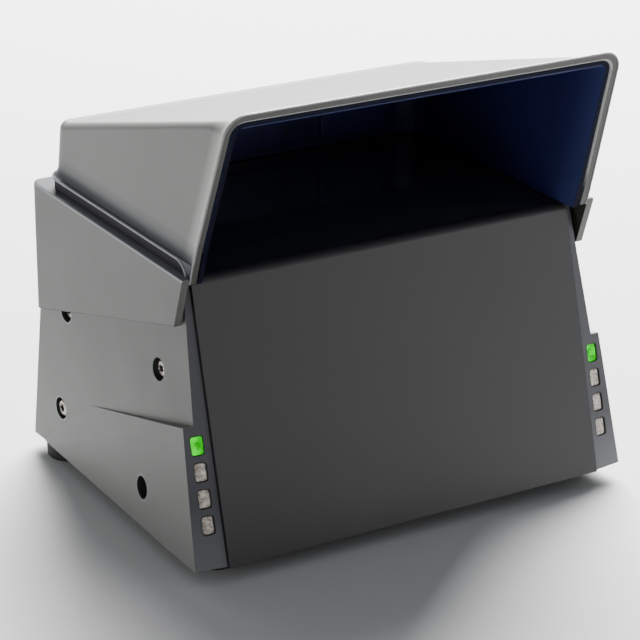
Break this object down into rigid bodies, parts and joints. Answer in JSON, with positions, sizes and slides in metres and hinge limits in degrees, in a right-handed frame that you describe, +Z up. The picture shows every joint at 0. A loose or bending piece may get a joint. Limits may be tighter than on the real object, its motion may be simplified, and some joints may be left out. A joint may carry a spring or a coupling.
{
  "type": "passport reader",
  "caption": "Desktop document reader: sloped dark front, near-level glass under a lift-off light hood, side indicator windows, mirror and camera inside.",
  "frame": {"origin": "middle of the footprint, on the table under the feet", "axes": "+X to the reader's right seen from its user, +Y from the front slope to the back, +Z up"},
  "size_m": [0.1594, 0.1318, 0.1481],
  "materials": {
    "housing_grey": "fine satin texture",
    "bezel_charcoal": "fine satin texture",
    "liner_black": "matt",
    "optics_black": "matt",
    "document_glass": "polished",
    "gasket_rubber": "matt",
    "foot_rubber": "matt",
    "indicator_lit": "satin, lit from behind",
    "indicator_unlit": "satin",
    "circuit_board": "satin lacquer",
    "light_board": "white lacquer",
    "diffuser": "frosted",
    "screw_steel": "satin",
    "bracket_sheet": "satin",
    "mirror": "polished",
    "shield_steel": "bright",
    "lens_glass": "coated",
    "sensor": "polished",
    "ribbon": "satin"
  },
  "bodies": {
    "reader": {"antenna_board": "circuit_board", "base_plate": "bezel_charcoal", "base_screw_back_left": "screw_steel", "base_screw_back_right": "screw_steel", "base_screw_front_left": "screw_steel", "base_screw_front_right": "screw_steel", "buzzer": "optics_black", "camera_board": "circuit_board", "casing": "housing_grey", "chassis": "optics_black", "deck_frame": "bezel_charcoal", "diffuser_left": "diffuser", "diffuser_right": "diffuser", "document_glass": "document_glass", "foot_back_left": "foot_rubber", "foot_back_right": "foot_rubber", "foot_front_left": "foot_rubber", "foot_front_right": "foot_rubber", "front_bezel": "bezel_charcoal", "glass_gasket": "gasket_rubber", "image_sensor": "sensor", "indicator_board_left": "circuit_board", "indicator_board_right": "circuit_board", "indicator_window_left_1": "indicator_lit", "indicator_window_left_2": "indicator_unlit", "indicator_window_left_3": "indicator_unlit", "indicator_window_left_4": "indicator_unlit", "indicator_window_right_1": "indicator_lit", "indicator_window_right_2": "indicator_unlit", "indicator_window_right_3": "indicator_unlit", "indicator_window_right_4": "indicator_unlit", "lens": "lens_glass", "lens_barrel": "optics_black", "lens_holder": "optics_black", "light_board_left": "light_board", "light_board_right": "light_board", "main_board": "circuit_board", "mirror": "mirror", "mirror_bracket": "bracket_sheet", "power_socket": "optics_black", "radio_board": "circuit_board", "ribbon_cable": "ribbon", "shield_can": "shield_steel", "side_screw_left_back_lower": "screw_steel", "side_screw_left_back_upper": "screw_steel", "side_screw_left_front_lower": "screw_steel", "side_screw_left_front_upper": "screw_steel", "side_screw_right_back_lower": "screw_steel", "side_screw_right_back_upper": "screw_steel", "side_screw_right_front_lower": "screw_steel", "side_screw_right_front_upper": "screw_steel", "usb_socket": "shield_steel"},
    "hood": {"hood": "housing_grey", "hood_liner": "liner_black", "hood_collar": "housing_grey"}
  },
  "joints": [
    {"name": "hood_lift", "type": "slide", "parent": "reader", "child": "hood", "axis": [0, 0, 1], "range_m": [0, 0.06]}
  ]
}
